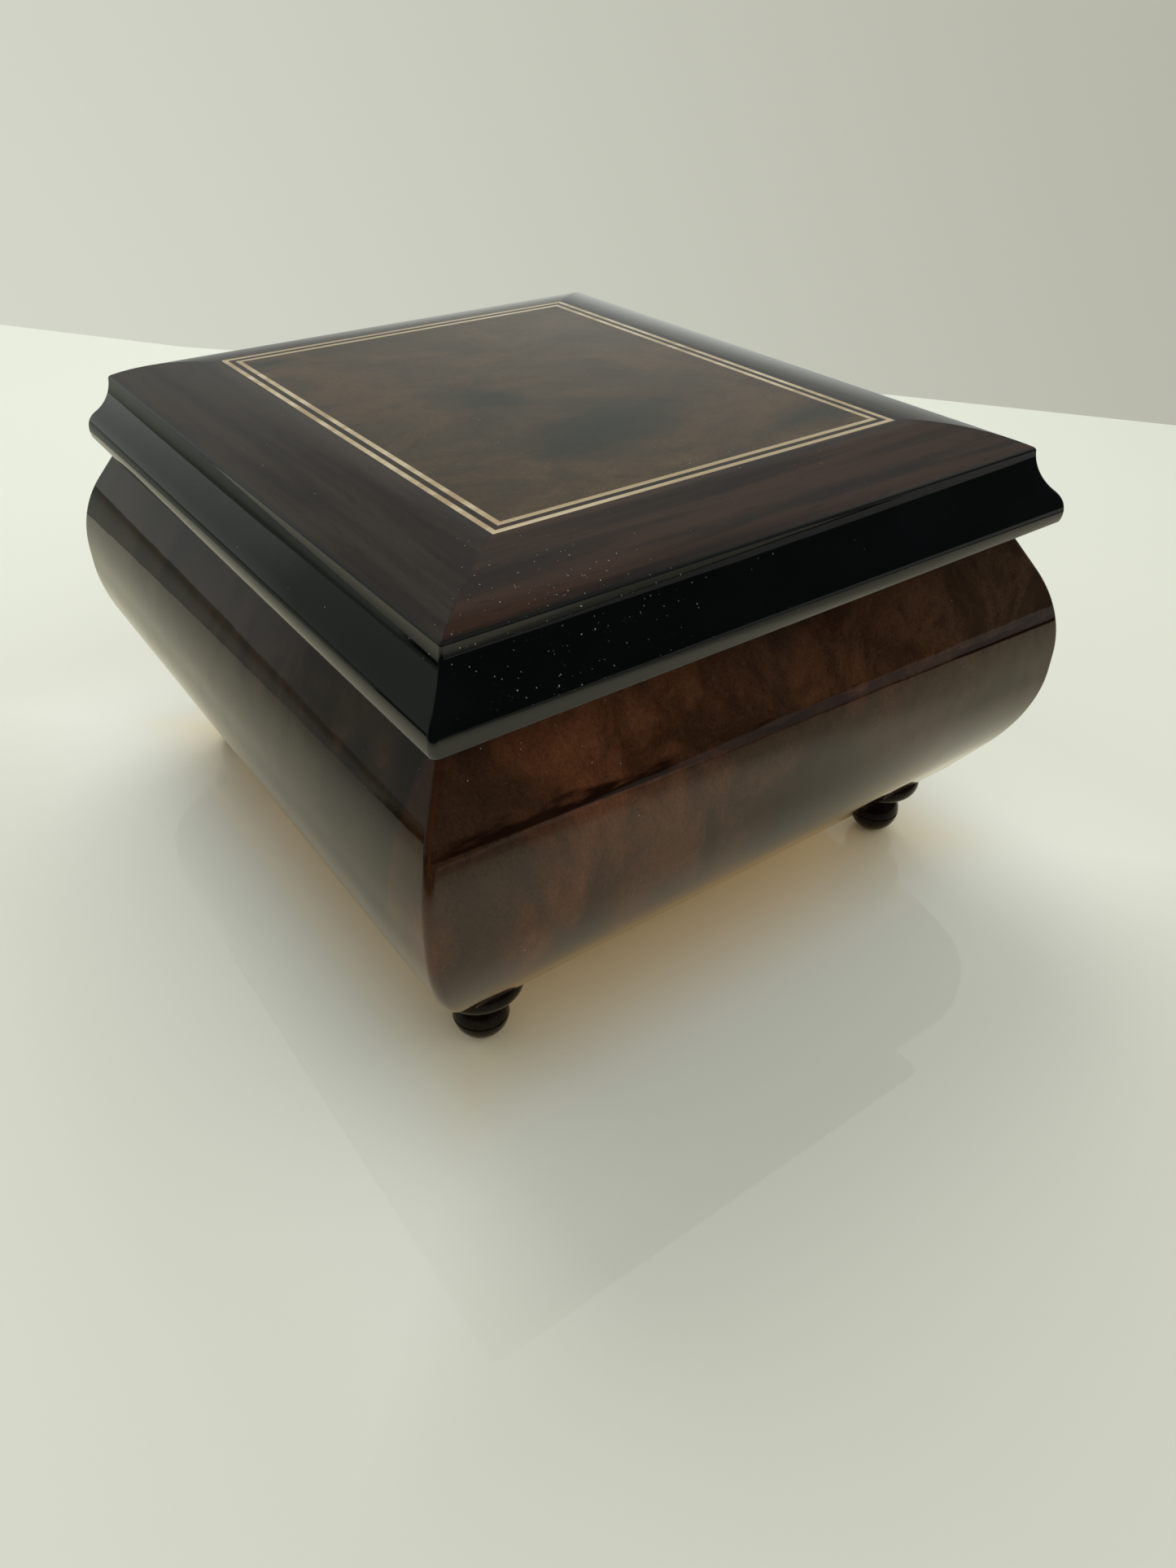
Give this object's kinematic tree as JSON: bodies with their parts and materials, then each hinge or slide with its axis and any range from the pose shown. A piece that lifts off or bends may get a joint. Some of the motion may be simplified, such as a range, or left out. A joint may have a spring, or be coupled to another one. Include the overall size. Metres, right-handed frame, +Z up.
{
  "type": "cylinder music box",
  "caption": "Small bombe music box on turned feet, with a crowned inlaid lid on hinges, a velvet-lined compartment and a wind-up pinned-cylinder movement.",
  "frame": {"origin": "on the surface the feet stand on, under the middle of the body", "axes": "+Z up, -Y the front, +Y the hinge side, +X to the right seen from the front"},
  "size_m": [0.124, 0.1424, 0.082],
  "materials": {
    "burl_veneer": "glossy lacquered burl veneer, red-brown",
    "border_veneer": "glossy lacquered dark straight-grained veneer",
    "burl_panel": "glossy lacquered olive-brown burl",
    "black_lacquer": "black gloss lacquer on moulded wood",
    "light_string": "glossy boxwood stringing",
    "dark_string": "glossy dyed stringing",
    "pale_wood": "bare pale wood",
    "foot_wood": "turned wood, dark gloss stain",
    "red_velvet": "short red velvet",
    "brass": "lacquered brass",
    "steel": "brushed steel",
    "comb_steel": "hardened steel, ground bright",
    "spring_steel": "blued spring steel",
    "lead": "dull lead",
    "clear_plastic": "clear acrylic sheet",
    "white_plastic": "moulded ivory plastic"
  },
  "bodies": {
    "case": {"front_side": "burl_veneer", "back_side": "burl_veneer", "left_side": "burl_veneer", "right_side": "burl_veneer", "bottom_board": "pale_wood", "bottom_screws": "brass", "foot_front_left": "foot_wood", "foot_front_right": "foot_wood", "foot_back_left": "foot_wood", "foot_back_right": "foot_wood", "hinge_left_body_leaf": "brass", "hinge_left_pin": "brass", "hinge_right_body_leaf": "brass", "hinge_right_pin": "brass", "hinge_body_screws": "brass", "partition": "pale_wood", "compartment_lining": "red_velvet", "cover_ledges": "pale_wood", "movement_cover": "clear_plastic", "bedplate": "brass", "bedplate_screws": "steel", "comb_base": "steel", "comb": "comb_steel", "comb_weights": "lead", "movement_screws": "steel", "cylinder_bracket": "steel", "governor_frame": "steel", "click_stud": "steel", "click_spring": "comb_steel", "stop_lever_stud": "steel"},
    "lid": {"lid_board": "black_lacquer", "border_front": "border_veneer", "border_back": "border_veneer", "border_left": "border_veneer", "border_right": "border_veneer", "outer_light_string": "light_string", "dark_string": "dark_string", "inner_light_string": "light_string", "burl_panel": "burl_panel", "lid_pad": "red_velvet", "hinge_left_lid_leaf": "brass", "hinge_right_lid_leaf": "brass", "hinge_lid_screws": "brass"},
    "barrel": {"barrel_drum": "brass", "barrel_cover": "brass", "mainspring": "spring_steel"},
    "winder": {"winding_arbor": "steel", "ratchet_wheel": "steel", "winding_key": "brass"},
    "cylinder": {"pinned_cylinder": "brass", "cylinder_arbor": "steel", "cylinder_pinion": "brass", "cylinder_wheel": "brass"},
    "governor": {"governor_arbor": "steel", "governor_wheel": "white_plastic"},
    "fly": {"fly_shaft": "steel", "fly_wings": "white_plastic"},
    "click": {"click": "steel"},
    "stop": {"stop_lever": "brass"}
  },
  "joints": [
    {"name": "lid_hinge", "type": "hinge", "parent": "case", "child": "lid", "pos_m": [0, 0.06285, 0.067], "axis": [-1, 0, 0], "range_deg": [0, 100]},
    {"name": "barrel_turn", "type": "hinge", "parent": "case", "child": "barrel", "pos_m": [-0.0156, 0.032, 0.0279], "axis": [0, 0, 1], "continuous": true},
    {"name": "winder_turn", "type": "hinge", "parent": "case", "child": "winder", "pos_m": [-0.0156, 0.032, 0.0253], "axis": [0, 0, 1], "continuous": true},
    {"name": "cylinder_turn", "type": "hinge", "parent": "case", "child": "cylinder", "pos_m": [0.00898, 0.032, 0.0398], "axis": [1, 0, 0], "continuous": true},
    {"name": "governor_turn", "type": "hinge", "parent": "case", "child": "governor", "pos_m": [0.02305, 0.04032, 0.03592], "axis": [1, 0, 0], "continuous": true},
    {"name": "fly_turn", "type": "hinge", "parent": "case", "child": "fly", "pos_m": [0.02305, 0.04737, 0.03592], "axis": [0, 0, 1], "continuous": true},
    {"name": "click_swing", "type": "hinge", "parent": "case", "child": "click", "pos_m": [-0.0156, 0.0223, 0.0262], "axis": [0, 0, -1], "range_deg": [0, 5], "stiffness_Nm_per_rad": 0.002, "springref_deg": -11.46},
    {"name": "stop_swing", "type": "hinge", "parent": "case", "child": "stop", "pos_m": [0.02765, 0.038, 0.04383], "axis": [-1, 0, 0], "range_deg": [0, 8]}
  ],
  "couplings": [
    {"joint": "cylinder_turn", "follows": "barrel_turn", "ratio": 4},
    {"joint": "governor_turn", "follows": "barrel_turn", "ratio": -20},
    {"joint": "fly_turn", "follows": "barrel_turn", "ratio": 600},
    {"joint": "stop_swing", "follows": "lid_hinge", "ratio": 0.08}
  ]
}
